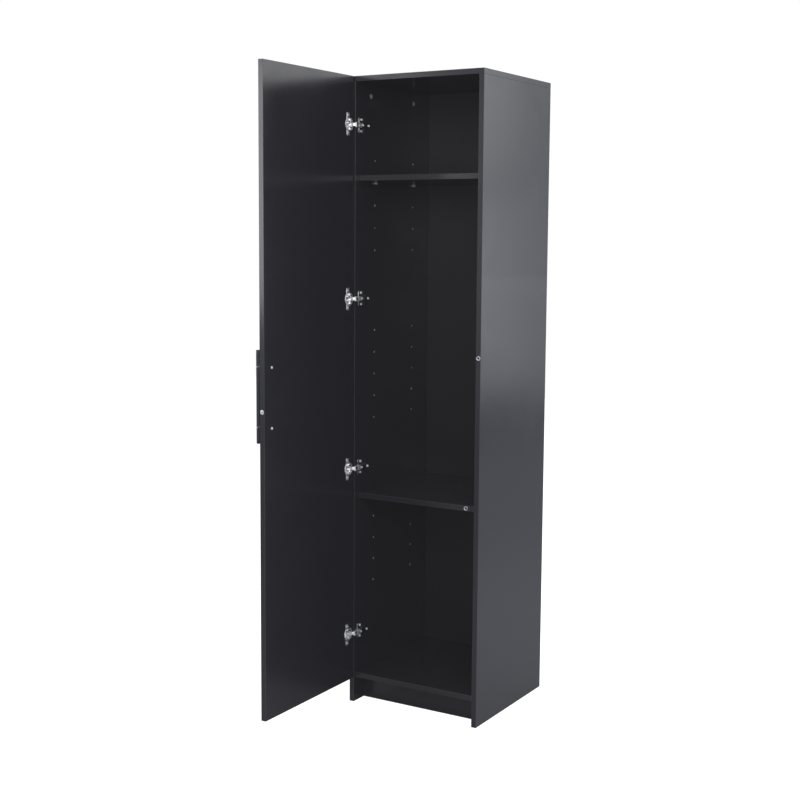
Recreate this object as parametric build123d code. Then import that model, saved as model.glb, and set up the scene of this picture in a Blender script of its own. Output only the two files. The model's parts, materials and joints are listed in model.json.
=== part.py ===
from build123d import *
import os

# A tall, narrow flat-pack locker cabinet: board carcass, two loose shelves and one full-height door on four
# concealed cup hinges, standing open at a right angle.  Millimetres, +Z up, front towards -Y.
# The origin is on the floor, midway between the sides, in the middle of the kick plate's thickness.

# ---- driving sizes --------------------------------------------------------------------------------------
width = 420.0
depth = 415.0
height = 1800.0
board = 15.0
edge_round = 0.6
back_thickness = 3.0
back_margin = 2.0

kick_height = 75.0
kick_recess = 55.0

shelf_recess = 20.0
shelf_side_gap = 0.5
shelf_rear_gap = 2.0

door_narrower = 4.0  # than the cabinet
door_bottom = 70.0

hole_pitch = 64.0
holes_per_group = 5
group_tops = (600.0, 1086.0, 1572.0)
hole_columns = (104.0, 317.0)
pin_radius = 2.5
pin_hole_depth = 10.0
pin_head_radius = 4.0
pin_head_length = 8.0
upper_shelf_hole = 1508.0
lower_shelf_hole = 600.0

cam_from_joint = 34.0
cam_radius = 7.5
cam_depth = 12.5
cam_setbacks = (82.0, 318.0)
dowel_setbacks = (50.0, 350.0)
dowel_radius = 4.0
dowel_half_length = 14.5
dowel_in_board = 9.5

hinge_heights = (208.0, 694.0, 1180.0, 1666.0)
cup_radius = 17.5
cup_depth = 11.5
cup_edge_gap = 3.0
cup_screw_spacing = 48.0
cup_screw_offset = 6.0  # from the cup's centre, away from the door's hinge edge
plate_screw_spacing = 32.0
plate_setback = 28.0

handle_height = 935.0
handle_screw_spacing = 160.0
handle_from_edge = 32.0
handle_bar_length = 248.0
handle_bar_radius = 6.0
handle_reach = 34.0

disc_radius = 6.0
disc_depth = 8.0
door_disc_height = 900.0
panel_disc_height = 1031.0
shelf_disc_from_side = 36.0

# ---- derived places -------------------------------------------------------------------------------------
half = width / 2
inner_half = half - board
front_y = -(kick_recess + board / 2)
rear_y = front_y + depth
board_rear_y = rear_y - back_thickness
side_height = height - board
floor_top = kick_height + board
shelf_front_y = front_y + shelf_recess
fit = 0.05  # radial clearance of a loose pin, cam or pressed disc in its hole
tight_fit = 0.02  # the same round a screw, bolt root or dowel that is driven home

# The hinge is drawn in its own plan: u runs inward from the left side's outer face, v runs back from the
# front edges.  The door is carried by a link that turns on a fixed arm and, at its other end, in the cup.
arm_pin_uv = (22.0, -7.0)
cup_pin_uv = (8.66, -12.0)
door_face_u = 11.0  # inner face of the open door
door_edge_v = -5.0  # hinge-side edge of the open door
door_width = width - door_narrower
hinge_pin_radius = 1.25
link_half_height = 4.5
link_thickness = 2.4
link_bulge = 3.0
link_eye_radius = 2.2
cheek_gap = 0.3
cheek_thickness = 1.5
cheek_inner = link_half_height + cheek_gap
cheek_outer = cheek_inner + cheek_thickness

door_inner_x = -half + door_face_u
door_outer_x = door_inner_x - board
door_hinge_y = front_y + door_edge_v
door_free_y = door_hinge_y - door_width
cup_y = door_hinge_y - cup_edge_gap - cup_radius
cup_screw_y = cup_y - cup_screw_offset
handle_y = door_free_y + handle_from_edge


# ---- small helpers --------------------------------------------------------------------------------------
def block(low, high):
    """A box between two opposite corners."""
    size = [b - a for a, b in zip(low, high)]
    centre = [(a + b) / 2 for a, b in zip(low, high)]
    return Pos(*centre) * Box(*size)


def rod(start, direction, radius, length):
    """A round bar from a point, along a direction."""
    place = Plane(origin=start, z_dir=direction)
    return place * Cylinder(radius, length, align=(Align.CENTER, Align.CENTER, Align.MIN))


def taper(start, direction, start_radius, end_radius, length):
    """A cone frustum from a point, along a direction."""
    place = Plane(origin=start, z_dir=direction)
    return place * Cone(start_radius, end_radius, length, align=(Align.CENTER, Align.CENTER, Align.MIN))


def cross_recess(start, direction, size, sink):
    """The cross-shaped driver recess cut into a screw head from its outer face."""
    place = Plane(origin=start, z_dir=direction)
    arm = Box(size, size * 0.28, sink, align=(Align.CENTER, Align.CENTER, Align.MIN))
    return place * (arm + Rot(0, 0, 90) * arm)


def shifted(point, direction, distance):
    """The point moved along a unit direction."""
    return tuple(p + d * distance for p, d in zip(point, direction))


def group(solids):
    """Several separate solids as one piece of the model."""
    return Compound(children=list(solids))


def hinge_point(uv, z):
    """A plan point of the hinge at height z, in the cabinet's frame."""
    return (-half + uv[0], front_y + uv[1], z)


def board_between(low, high):
    """A board between two opposite corners, its edges slightly rounded."""
    plain = block(low, high)
    return fillet(plain.edges(), edge_round)


# ---- where things repeat --------------------------------------------------------------------------------
shelf_holes = [
    (front_y + setback, top - hole_pitch * k)
    for top in group_tops
    for setback in hole_columns
    for k in range(holes_per_group)
]
side_signs = (-1, 1)
nail_step = 205.0
nails_up_side = [kick_height + 32.5 + nail_step * k for k in range(9)]
nails_across = (-120.0, 0.0, 120.0)
nail_places = [(s * (half - board / 2), z) for s in side_signs for z in nails_up_side]
nail_places += [(x, height - board / 2) for x in nails_across]
nail_places += [(x, kick_height + board / 2) for x in nails_across]
nail_radius = 0.8
nail_length = 17.0
nail_head_radius = 2.0
nail_head_height = 0.8
bolt_radius = 3.0
bolt_thread_depth = 10.0
bolt_head_radius = 4.0


def nail_holes():
    """The pilot holes of the back's nails, in the rear edges of the boards and through the back."""
    return [rod((x, rear_y, z), (0, -1, 0), nail_radius, nail_length) for x, z in nail_places]


def nail_head_seats():
    """The dents that the nail heads press into the back, so that they end flush with it."""
    return [rod((x, rear_y, z), (0, -1, 0), nail_head_radius, nail_head_height) for x, z in nail_places]


# Each cam joint: the cam's centre, the way its face looks, and the way its bolt runs into the next board.
def top_cams():
    cams = []
    for s in side_signs:
        for setback in cam_setbacks:
            centre = (s * inner_half, front_y + setback, side_height - cam_from_joint)
            cams.append((centre, (-s, 0, 0), (0, 0, 1), s))
    return cams


def floor_cams():
    cams = []
    for s in side_signs:
        for setback in cam_setbacks:
            centre = (s * (inner_half - cam_from_joint), front_y + setback, kick_height)
            cams.append((centre, (0, 0, -1), (s, 0, 0), s))
    return cams


def kick_cams():
    return [
        ((s * (inner_half - cam_from_joint), board / 2, kick_height / 2), (0, 1, 0), (s, 0, 0), s)
        for s in side_signs
    ]


def bolt_line(cam):
    """Start of a cam bolt, level with the middle of the board that holds the cam."""
    centre, facing, along, _ = cam
    return shifted(centre, facing, -board / 2), along


def cam_pocket(cam):
    """The pocket of the cam and the channel of its bolt."""
    centre, facing, along, _ = cam
    inward = tuple(-f for f in facing)
    pocket = rod(centre, inward, cam_radius + fit, cam_depth + fit)
    start, along = bolt_line(cam)
    return pocket + rod(start, along, bolt_head_radius + fit, cam_from_joint)


def bolt_socket(cam):
    """The threaded hole of a cam bolt in the next board."""
    start, along = bolt_line(cam)
    face = shifted(start, along, cam_from_joint)
    return rod(face, along, bolt_radius + tight_fit, bolt_thread_depth + 0.5)


def cam_lock(cam):
    """A cam disc: cross-slotted face, waist for the bolt head, and the slot that draws it in."""
    centre, facing, along, _ = cam
    inward = tuple(-f for f in facing)
    disc = rod(centre, inward, cam_radius, cam_depth)
    start, along = bolt_line(cam)
    disc -= rod(shifted(start, along, -cam_radius), along, bolt_head_radius + 0.4, 2 * cam_radius)
    disc -= cross_recess(centre, inward, 9.0, 2.0)
    return disc


def cam_bolt(cam):
    """A cam bolt: threaded root in the next board, collar, slim shank and ball head in the cam."""
    start, along = bolt_line(cam)
    back = tuple(-a for a in along)
    face = shifted(start, along, cam_from_joint)
    root = rod(face, along, bolt_radius, bolt_thread_depth)
    collar = rod(face, back, bolt_head_radius - 0.2, 6.0)
    shank = rod(face, back, 2.0, cam_from_joint - 2.0)
    head = rod(shifted(face, back, cam_from_joint - 3.5), back, 3.4, 3.5)
    return root + collar + shank + head


def dowel_lines():
    """Centre of each wood dowel on its joint plane, and its direction towards the drilled face."""
    lines = []
    for s in side_signs:
        for setback in dowel_setbacks:
            lines.append(((s * (half - board / 2), front_y + setback, side_height), (0, 0, 1)))
            lines.append(((s * inner_half, front_y + setback, kick_height + board / 2), (s, 0, 0)))
        lines.append(((s * inner_half, 0.0, kick_height * 0.8), (s, 0, 0)))
    return lines


def dowel_solid(line, slack):
    """A dowel, or with slack its hole: shallow in the drilled face and deep in the board's end."""
    centre, towards = line
    start = shifted(centre, towards, -(2 * dowel_half_length - dowel_in_board) - slack)
    return rod(start, towards, dowel_radius + slack, 2 * dowel_half_length + 2 * slack)


# ---- carcass boards -------------------------------------------------------------------------------------
def side_panel(s):
    inner = s * inner_half
    outer = s * half
    panel = board_between((min(inner, outer), front_y, 0), (max(inner, outer), board_rear_y, side_height))
    cuts = [rod((inner, y, z), (s, 0, 0), pin_radius + fit, pin_hole_depth) for y, z in shelf_holes]
    cuts += [cam_pocket(c) for c in top_cams() if c[3] == s]
    cuts += [bolt_socket(c) for c in floor_cams() + kick_cams() if c[3] == s]
    cuts += [dowel_solid(line, tight_fit) for line in dowel_lines() if line[0][0] * s > 0]
    cuts += nail_holes()
    if s < 0:
        for place in plate_screw_places():
            cuts.append(rod(place, (s, 0, 0), plate_screw_radius + tight_fit, plate_screw_length))
    else:
        cuts.append(rod(panel_disc_place(), (0, 1, 0), disc_radius + fit, disc_depth))
    return panel - cuts


def top_panel():
    panel = board_between((-half, front_y, side_height), (half, board_rear_y, height))
    cuts = [bolt_socket(c) for c in top_cams()]
    cuts += [dowel_solid(line, tight_fit) for line in dowel_lines() if line[1][2] == 1]
    cuts += nail_holes()
    for place in bracket_screw_places():
        cuts.append(rod(place, (0, 0, 1), bracket_screw_radius + tight_fit, bracket_screw_bite))
    return panel - cuts


def bottom_panel():
    panel = board_between((-inner_half, front_y, kick_height), (inner_half, board_rear_y, floor_top))
    cuts = [cam_pocket(c) for c in floor_cams()]
    cuts += [dowel_solid(line, tight_fit) for line in dowel_lines() if line[0][2] > kick_height]
    cuts += nail_holes()
    return panel - cuts


def kick_plate():
    plate = board_between((-inner_half, -board / 2, 0), (inner_half, board / 2, kick_height))
    cuts = [cam_pocket(c) for c in kick_cams()]
    cuts += [dowel_solid(line, tight_fit) for line in dowel_lines() if line[0][2] < kick_height]
    return plate - cuts


def back_panel():
    low = (-half + back_margin, board_rear_y, kick_height + back_margin)
    high = (half - back_margin, rear_y, height - back_margin)
    panel = block(low, high) - nail_holes() - nail_head_seats()
    x, _, z = wall_hole_place()
    return panel - rod((x, board_rear_y, z), (0, 1, 0), wall_hole_radius + 2.0, back_thickness)


def back_nails():
    nails = []
    for x, z in nail_places:
        shank = rod((x, rear_y, z), (0, -1, 0), nail_radius, nail_length)
        nails.append(shank + rod((x, rear_y, z), (0, -1, 0), nail_head_radius, nail_head_height))
    return group(nails)


# ---- shelves --------------------------------------------------------------------------------------------
def shelf(hole_z, with_disc):
    bottom = hole_z + pin_head_radius
    half_width = inner_half - shelf_side_gap
    low = (-half_width, shelf_front_y, bottom)
    plank = board_between(low, (half_width, board_rear_y - shelf_rear_gap, bottom + board))
    if with_disc:
        plank -= rod(shelf_disc_place(), (0, 1, 0), disc_radius + fit, disc_depth)
    return plank


def shelf_pins():
    """Steel shelf supports: a slim peg in the side and a thicker head under the shelf."""
    pins = []
    for hole_z in (lower_shelf_hole, upper_shelf_hole):
        for s in side_signs:
            for setback in hole_columns:
                at = (s * inner_half, front_y + setback, hole_z)
                peg = rod(at, (s, 0, 0), pin_radius, pin_hole_depth - 1.0)
                head = rod(at, (-s, 0, 0), pin_head_radius, pin_head_length)
                pins.append(peg + fillet(head.edges().sort_by(Axis.X)[0 if s > 0 else -1], 1.0))
    return group(pins)


# ---- press-in discs -------------------------------------------------------------------------------------
def panel_disc_place():
    return (half - board / 2, front_y, panel_disc_height)


def shelf_disc_place():
    return (inner_half - shelf_disc_from_side, shelf_front_y, lower_shelf_hole + pin_head_radius + board / 2)


def door_disc_place():
    return (door_outer_x + board / 2, door_free_y, door_disc_height)


def edge_disc(place, slotted):
    """A round steel insert pressed into a board's edge, its face proud by half a millimetre."""
    proud = 0.5
    front = (place[0], place[1] - proud, place[2])
    disc = rod(front, (0, 1, 0), disc_radius, disc_depth)
    if slotted:
        slot = Rot(0, 35, 0) * Box(2 * disc_radius, 1.2, 1.4)
        return disc - Pos(front[0], front[1] + 0.6, front[2]) * slot
    return disc - rod(front, (0, 1, 0), disc_radius * 0.35, 2.0)


# ---- wall bracket ---------------------------------------------------------------------------------------
bracket_width = 20.0
bracket_leg = 30.0
bracket_steel = 2.0
wall_hole_radius = 3.0
bracket_screw_radius = 1.75
bracket_screw_bite = 11.0


def wall_hole_place():
    return (0.0, board_rear_y, side_height - 20.0)


def bracket_screw_places():
    y = board_rear_y - 19.0
    return [(x, y, side_height) for x in (-5.0, 5.0)]


def wall_bracket():
    """A steel angle under the top: one leg screwed up into it, the other flat against the back."""
    x0, x1 = -bracket_width / 2, bracket_width / 2
    y0, y1 = board_rear_y - bracket_leg, board_rear_y
    upper = block((x0, y0, side_height - bracket_steel), (x1, y1, side_height))
    rear = block((x0, y1 - bracket_steel, side_height - bracket_leg), (x1, y1, side_height))
    angle = upper + rear
    for place in bracket_screw_places():
        angle -= rod(place, (0, 0, -1), bracket_screw_radius + 0.25, bracket_steel)
    x, _, z = wall_hole_place()
    return angle - rod((x, y1 - bracket_steel, z), (0, 1, 0), wall_hole_radius, bracket_steel)


def bracket_screws():
    screws = []
    for x, y, z in bracket_screw_places():
        seat = (x, y, z - bracket_steel)
        screw = rod(seat, (0, 0, 1), bracket_screw_radius, bracket_steel + bracket_screw_bite - 0.5)
        screw += rod(seat, (0, 0, -1), 3.2, 2.0)
        screws.append(screw - cross_recess((x, y, seat[2] - 2.0), (0, 0, 1), 3.4, 1.2))
    return group(screws)


# ---- hinges ---------------------------------------------------------------------------------------------
plate_thickness = 2.0
plate_length = 46.0
plate_width = 24.0
plate_screw_radius = 2.5
plate_screw_length = 11.0
arm_top = 27.0
arm_steel = 1.5
arm_reach = 60.0
fixing_screw_v = 50.0
adjusting_screw_v = 20.0
arm_screw_radius = 2.5
flange_steel = 1.0
wing_width = 13.0
wing_length = 64.0


def plate_screw_places():
    return [
        (-inner_half, front_y + plate_setback, z + side * plate_screw_spacing / 2)
        for z in hinge_heights
        for side in side_signs
    ]


def plan_shape(points, z_low, z_high):
    """A flat plan outline of the hinge, carried up from z_low to z_high."""
    outline = Polyline(*[hinge_point(p, 0)[:2] for p in points], close=True)
    return Pos(0, 0, z_low) * extrude(make_face(outline), z_high - z_low)


def round_at(uv, radius, z_low, z_high):
    """An upright cylinder at a plan point of the hinge."""
    return rod(hinge_point(uv, z_low), (0, 0, 1), radius, z_high - z_low)


def hinge_plate(z):
    """The mounting plate on the side: a winged base with a raised saddle under the arm."""
    base_u = board + plate_thickness
    low = hinge_point((board, plate_setback - plate_width / 2), z - plate_length / 2)
    high = hinge_point((base_u, plate_setback + plate_width / 2), z + plate_length / 2)
    wing = block(low, high)
    wing = fillet(wing.edges().filter_by(Axis.X), 6.0)
    spine = block(hinge_point((board, 14.0), z - 7.5), hinge_point((base_u, arm_reach - 2.0), z + 7.5))
    saddle_low = hinge_point((board, 16.0), z - cheek_inner + 0.1)
    saddle_high = hinge_point((arm_top - arm_steel, arm_reach - 4.0), z + cheek_inner - 0.1)
    saddle = block(saddle_low, saddle_high)
    plate = wing + spine + saddle
    for side in side_signs:
        centre = hinge_point((base_u, plate_setback), z + side * plate_screw_spacing / 2)
        plate -= rod(centre, (-1, 0, 0), plate_screw_radius + fit, plate_thickness)
    for v in (fixing_screw_v, adjusting_screw_v):
        top = hinge_point((arm_top - arm_steel, v), z)
        plate -= rod(top, (-1, 0, 0), arm_screw_radius + tight_fit, 7.0)
    return plate


def plate_screws():
    """Euro screws that hold the mounting plates to the side."""
    screws = []
    for x, y, z in plate_screw_places():
        seat = (x + plate_thickness, y, z)
        screw = rod(seat, (-1, 0, 0), plate_screw_radius, plate_thickness + plate_screw_length - 0.5)
        screw += taper(seat, (1, 0, 0), 4.0, 3.2, 1.8)
        screws.append(screw - cross_recess((seat[0] + 1.8, y, z), (-1, 0, 0), 4.4, 1.4))
    return group(screws)


def hinge_arm(z):
    """The fixed arm: a steel channel over the saddle whose nose reaches out to the link's pin."""
    pin_u, pin_v = arm_pin_uv
    cheek = [
        (pin_u - 3.2, pin_v),
        (pin_u + 3.2, pin_v - 0.6),
        (arm_top, 3.0),
        (arm_top, arm_reach),
        (board + plate_thickness + 0.4, arm_reach),
        (board + plate_thickness + 0.4, 12.0),
        (18.4, 2.0),
    ]
    arm = None
    for low, high in ((-cheek_outer, -cheek_inner), (cheek_inner, cheek_outer)):
        side = plan_shape(cheek, z + low, z + high) + round_at(arm_pin_uv, 3.2, z + low, z + high)
        arm = side if arm is None else arm + side
    web_low = hinge_point((arm_top - arm_steel, 5.0), z - cheek_outer)
    arm += block(web_low, hinge_point((arm_top, arm_reach), z + cheek_outer))
    arm -= round_at(arm_pin_uv, hinge_pin_radius, z - cheek_outer, z + cheek_outer)
    for v in (fixing_screw_v, adjusting_screw_v):
        arm -= rod(hinge_point((arm_top, v), z), (-1, 0, 0), arm_screw_radius + 0.1, arm_steel)
    return arm


def hinge_arm_pins():
    return group(
        round_at(arm_pin_uv, hinge_pin_radius, z - cheek_outer, z + cheek_outer) for z in hinge_heights
    )


def arm_screws(v):
    """The screws of the arms at one setback: pan heads with a cross recess."""
    screws = []
    for z in hinge_heights:
        seat = hinge_point((arm_top, v), z)
        screw = rod(seat, (-1, 0, 0), arm_screw_radius, 7.5)
        screw += rod(seat, (1, 0, 0), 3.6, 1.8)
        screws.append(screw - cross_recess(shifted(seat, (1, 0, 0), 1.8), (-1, 0, 0), 4.6, 1.2))
    return group(screws)


def hinge_link(z):
    """The swinging link: an arched bar with an eye round each pin, bowed towards the cup's floor."""
    low, high = z - link_half_height, z + link_half_height
    start = Vector(*hinge_point(arm_pin_uv, low))
    end = Vector(*hinge_point(cup_pin_uv, low))
    sideways = (end - start).rotate(Axis.Z, 90).normalized()

    def bow(offset):
        middle = (start + end) * 0.5 + sideways * (link_bulge + offset)
        return ThreePointArc(start + sideways * offset, middle, end + sideways * offset)

    near = bow(-link_thickness / 2)
    far = bow(link_thickness / 2)
    outline = near + far + Line(near @ 0, far @ 0) + Line(near @ 1, far @ 1)
    link = extrude(make_face(outline), high - low, dir=(0, 0, 1))
    for uv in (arm_pin_uv, cup_pin_uv):
        link += round_at(uv, link_eye_radius, low, high)
    for uv in (arm_pin_uv, cup_pin_uv):
        link -= round_at(uv, hinge_pin_radius + fit, low, high)
    return link


def hinge_cup(z):
    """The pressed cup in the door, its winged flange and the two lugs that hold the link's pin."""
    face = (door_inner_x, cup_y, z)
    wall = 0.8
    body = rod(face, (-1, 0, 0), cup_radius, cup_depth)
    ring = rod(face, (1, 0, 0), cup_radius + 1.6, flange_steel)
    wing_low = (door_inner_x, cup_screw_y - wing_width / 2, z - wing_length / 2)
    wing = block(wing_low, (door_inner_x + flange_steel, cup_screw_y + wing_width / 2, z + wing_length / 2))
    wing = fillet(wing.edges().filter_by(Axis.X), 5.5)
    cup = body + ring + wing
    hollow = shifted(face, (1, 0, 0), flange_steel)
    cup -= rod(hollow, (-1, 0, 0), cup_radius - wall, cup_depth + flange_steel - wall)
    pin_u, pin_v = cup_pin_uv
    for low, high in ((-cheek_outer, -cheek_inner), (cheek_inner, cheek_outer)):
        lug_low = (door_inner_x - cup_depth + wall / 2, front_y + pin_v - 2.6, z + low)
        lug_high = (-half + pin_u, door_hinge_y - cup_edge_gap - wall / 2 - 0.8, z + high)
        cup += block(lug_low, lug_high) + round_at(cup_pin_uv, 2.2, z + low, z + high)
    cup -= round_at(cup_pin_uv, hinge_pin_radius, z - cheek_outer, z + cheek_outer)
    for side in side_signs:
        hole = (door_inner_x + flange_steel, cup_screw_y, z + side * cup_screw_spacing / 2)
        cup -= rod(hole, (-1, 0, 0), cup_screw_radius + 0.25, flange_steel)
    return cup


cup_screw_radius = 1.75
cup_screw_length = 11.0


def cup_screw_places():
    return [
        (door_inner_x, cup_screw_y, z + side * cup_screw_spacing / 2)
        for z in hinge_heights
        for side in side_signs
    ]


def cup_screws():
    screws = []
    for x, y, z in cup_screw_places():
        seat = (x + flange_steel, y, z)
        screw = rod(seat, (-1, 0, 0), cup_screw_radius, flange_steel + cup_screw_length - 0.5)
        screw += taper(seat, (1, 0, 0), 3.6, 2.4, 1.6)
        screws.append(screw - cross_recess((seat[0] + 1.6, y, z), (-1, 0, 0), 3.4, 1.3))
    return group(screws)


def hinge_cup_pins():
    return group(
        round_at(cup_pin_uv, hinge_pin_radius, z - cheek_outer, z + cheek_outer) for z in hinge_heights
    )


# ---- door and handle ------------------------------------------------------------------------------------
post_radius = 5.0
post_length = handle_reach - 2 * handle_bar_radius
handle_bolt_radius = 2.0
handle_bolt_head_radius = 4.0
handle_bolt_head = 2.6
bolt_into_post = 12.0


def handle_levels():
    return [handle_height + side * handle_screw_spacing / 2 for side in side_signs]


def door_panel():
    low = (door_outer_x, door_free_y, door_bottom)
    panel = board_between(low, (door_inner_x, door_hinge_y, height))
    cuts = []
    for z in hinge_heights:
        cuts.append(rod((door_inner_x, cup_y, z), (-1, 0, 0), cup_radius + fit, cup_depth + 0.1))
    for place in cup_screw_places():
        cuts.append(rod(place, (-1, 0, 0), cup_screw_radius + tight_fit, cup_screw_length))
    for z in handle_levels():
        cuts.append(rod((door_outer_x, handle_y, z), (1, 0, 0), handle_bolt_radius + 0.25, board))
    cuts.append(rod(door_disc_place(), (0, 1, 0), disc_radius + fit, disc_depth))
    return panel - cuts


def handle_post(z):
    """A stand-off between the door and the bar, its end hollowed to fit round the bar."""
    start = (door_outer_x, handle_y, z)
    bar_centre_x = door_outer_x - post_length - handle_bar_radius
    post = rod(start, (-1, 0, 0), post_radius, post_length + 2.5)
    post -= rod((bar_centre_x, handle_y, z - 20), (0, 0, 1), handle_bar_radius + tight_fit, 40)
    return post - rod(start, (-1, 0, 0), handle_bolt_radius + tight_fit, bolt_into_post + 0.5)


def handle_bar():
    """A round bar with flat, lightly chamfered ends and a seat for each grub screw."""
    bar_centre_x = door_outer_x - post_length - handle_bar_radius
    start = (bar_centre_x, handle_y, handle_height - handle_bar_length / 2)
    bar = rod(start, (0, 0, 1), handle_bar_radius, handle_bar_length)
    bar = chamfer(bar.edges().filter_by(GeomType.CIRCLE), 0.8)
    for z in handle_levels():
        bar -= rod(grub_start(z), (0, 1, 0), grub_radius + tight_fit, grub_length)
    return bar


grub_radius = 1.6
grub_length = 4.0


def grub_start(z):
    bar_centre_x = door_outer_x - post_length - handle_bar_radius
    return (bar_centre_x, handle_y - handle_bar_radius, z)


def handle_grub_screws():
    """Small bright screws in the bar's front side, one level with each post."""
    screws = []
    for z in handle_levels():
        start = grub_start(z)
        screw = rod(start, (0, 1, 0), grub_radius, grub_length - 0.2)
        screws.append(screw - rod(start, (0, 1, 0), 0.8, 1.5))
    return group(screws)


def handle_bolts():
    """Machine screws through the door into the posts, with pan heads on the door's inner face."""
    bolts = []
    for z in handle_levels():
        seat = (door_inner_x, handle_y, z)
        bolt = rod(seat, (-1, 0, 0), handle_bolt_radius, board + bolt_into_post)
        head = rod(seat, (1, 0, 0), handle_bolt_head_radius, handle_bolt_head)
        head = fillet(head.edges().filter_by(GeomType.CIRCLE).sort_by(Axis.X)[-1], 1.2)
        recess = cross_recess(shifted(seat, (1, 0, 0), handle_bolt_head), (-1, 0, 0), 4.4, 1.6)
        bolts.append(bolt + head - recess)
    return group(bolts)


# ---- all pieces -----------------------------------------------------------------------------------------
def make_pieces():
    pieces = {
        "left_side_panel": side_panel(-1),
        "right_side_panel": side_panel(1),
        "top_panel": top_panel(),
        "bottom_panel": bottom_panel(),
        "kick_plate": kick_plate(),
        "back_panel": back_panel(),
        "back_nails": back_nails(),
        "upper_shelf": shelf(upper_shelf_hole, False),
        "lower_shelf": shelf(lower_shelf_hole, True),
        "shelf_pins": shelf_pins(),
        "top_cam_locks": group(cam_lock(c) for c in top_cams()),
        "floor_cam_locks": group(cam_lock(c) for c in floor_cams()),
        "kick_cam_locks": group(cam_lock(c) for c in kick_cams()),
        "top_cam_bolts": group(cam_bolt(c) for c in top_cams()),
        "floor_cam_bolts": group(cam_bolt(c) for c in floor_cams()),
        "kick_cam_bolts": group(cam_bolt(c) for c in kick_cams()),
        "wood_dowels": group(dowel_solid(line, 0.0) for line in dowel_lines()),
        "wall_bracket": wall_bracket(),
        "wall_bracket_screws": bracket_screws(),
        "panel_edge_disc": edge_disc(panel_disc_place(), False),
        "shelf_edge_disc": edge_disc(shelf_disc_place(), False),
        "door_edge_disc": edge_disc(door_disc_place(), True),
        "hinge_plate_screws": plate_screws(),
        "hinge_fixing_screws": arm_screws(fixing_screw_v),
        "hinge_adjusting_screws": arm_screws(adjusting_screw_v),
        "hinge_arm_pins": hinge_arm_pins(),
        "hinge_cup_pins": hinge_cup_pins(),
        "hinge_cup_screws": cup_screws(),
        "door_panel": door_panel(),
        "handle_bar": handle_bar(),
        "handle_bolts": handle_bolts(),
        "handle_grub_screws": handle_grub_screws(),
    }
    for number, z in enumerate(hinge_heights, start=1):
        pieces[f"hinge_plate_{number}"] = hinge_plate(z)
        pieces[f"hinge_arm_{number}"] = hinge_arm(z)
        pieces[f"hinge_link_{number}"] = hinge_link(z)
        pieces[f"hinge_cup_{number}"] = hinge_cup(z)
    for name, z in zip(("lower", "upper"), handle_levels()):
        pieces[f"handle_post_{name}"] = handle_post(z)
    return pieces


if __name__ == "__main__":
    os.makedirs("parts", exist_ok=True)
    for name, piece in make_pieces().items():
        export_step(piece, f"parts/{name}.step")
        print(name, round(piece.volume / 1000, 2), "cm3")
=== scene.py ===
import json
import math

import bmesh
import bpy
import numpy as np
from mathutils import Matrix, Vector


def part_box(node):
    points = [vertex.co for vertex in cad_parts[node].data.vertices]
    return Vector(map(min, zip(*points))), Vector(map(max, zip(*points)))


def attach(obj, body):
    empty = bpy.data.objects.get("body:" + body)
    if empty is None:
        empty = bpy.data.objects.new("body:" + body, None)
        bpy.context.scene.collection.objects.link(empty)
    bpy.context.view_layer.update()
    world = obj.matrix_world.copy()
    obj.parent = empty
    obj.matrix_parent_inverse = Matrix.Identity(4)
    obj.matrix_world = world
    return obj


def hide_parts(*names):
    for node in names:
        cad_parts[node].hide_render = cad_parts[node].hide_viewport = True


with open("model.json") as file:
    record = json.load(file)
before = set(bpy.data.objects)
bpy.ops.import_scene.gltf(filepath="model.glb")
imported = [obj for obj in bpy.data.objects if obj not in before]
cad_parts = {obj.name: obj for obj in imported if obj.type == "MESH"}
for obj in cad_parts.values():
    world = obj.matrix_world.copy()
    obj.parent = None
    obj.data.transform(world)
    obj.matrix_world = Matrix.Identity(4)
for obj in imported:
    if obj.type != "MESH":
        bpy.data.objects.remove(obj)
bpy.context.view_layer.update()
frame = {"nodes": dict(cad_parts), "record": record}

nodes = frame["nodes"]
scene = bpy.context.scene
print("frame loaded,", len(nodes), "CAD nodes")


def feed(tree, socket, value):
    # a socket is linked, anything else is typed in
    if isinstance(value, bpy.types.NodeSocket):
        tree.links.new(value, socket)
    else:
        socket.default_value = value


def calc(tree, operation, *values, clamp=False):
    node = tree.nodes.new("ShaderNodeMath")
    node.operation = operation
    node.use_clamp = clamp
    for socket, value in zip(node.inputs, values):
        feed(tree, socket, value)
    return node.outputs[0]


def calcVector(tree, operation, *values):
    node = tree.nodes.new("ShaderNodeVectorMath")
    node.operation = operation
    for socket, value in zip(node.inputs, values):
        feed(tree, socket, value)
    return node.outputs["Vector"]


def axesOf(tree, vector):
    node = tree.nodes.new("ShaderNodeSeparateXYZ")
    feed(tree, node.inputs[0], vector)
    return node.outputs[0], node.outputs[1], node.outputs[2]


def noise(tree, place, scale, detail=3.0, roughness=0.55, distortion=0.0):
    node = tree.nodes.new("ShaderNodeTexNoise")
    settings = {"Vector": place, "Scale": scale, "Detail": detail, "Roughness": roughness,
                "Distortion": distortion}
    for label, value in settings.items():
        feed(tree, node.inputs[label], value)
    return node.outputs["Fac"]


def cells(tree, place, scale, output="Distance"):
    node = tree.nodes.new("ShaderNodeTexVoronoi")
    feed(tree, node.inputs["Vector"], place)
    feed(tree, node.inputs["Scale"], scale)
    return node.outputs[output]


def remap(tree, value, fromLow, fromHigh, toLow=0.0, toHigh=1.0):
    node = tree.nodes.new("ShaderNodeMapRange")
    for socket, number in zip(node.inputs, (value, fromLow, fromHigh, toLow, toHigh)):
        feed(tree, socket, number)
    return node.outputs[0]


def blendColour(tree, factor, first, second):
    node = tree.nodes.new("ShaderNodeMix")
    node.data_type = "RGBA"
    for index, value in ((0, factor), (6, first), (7, second)):
        feed(tree, node.inputs[index], value)
    return node.outputs[2]


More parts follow.
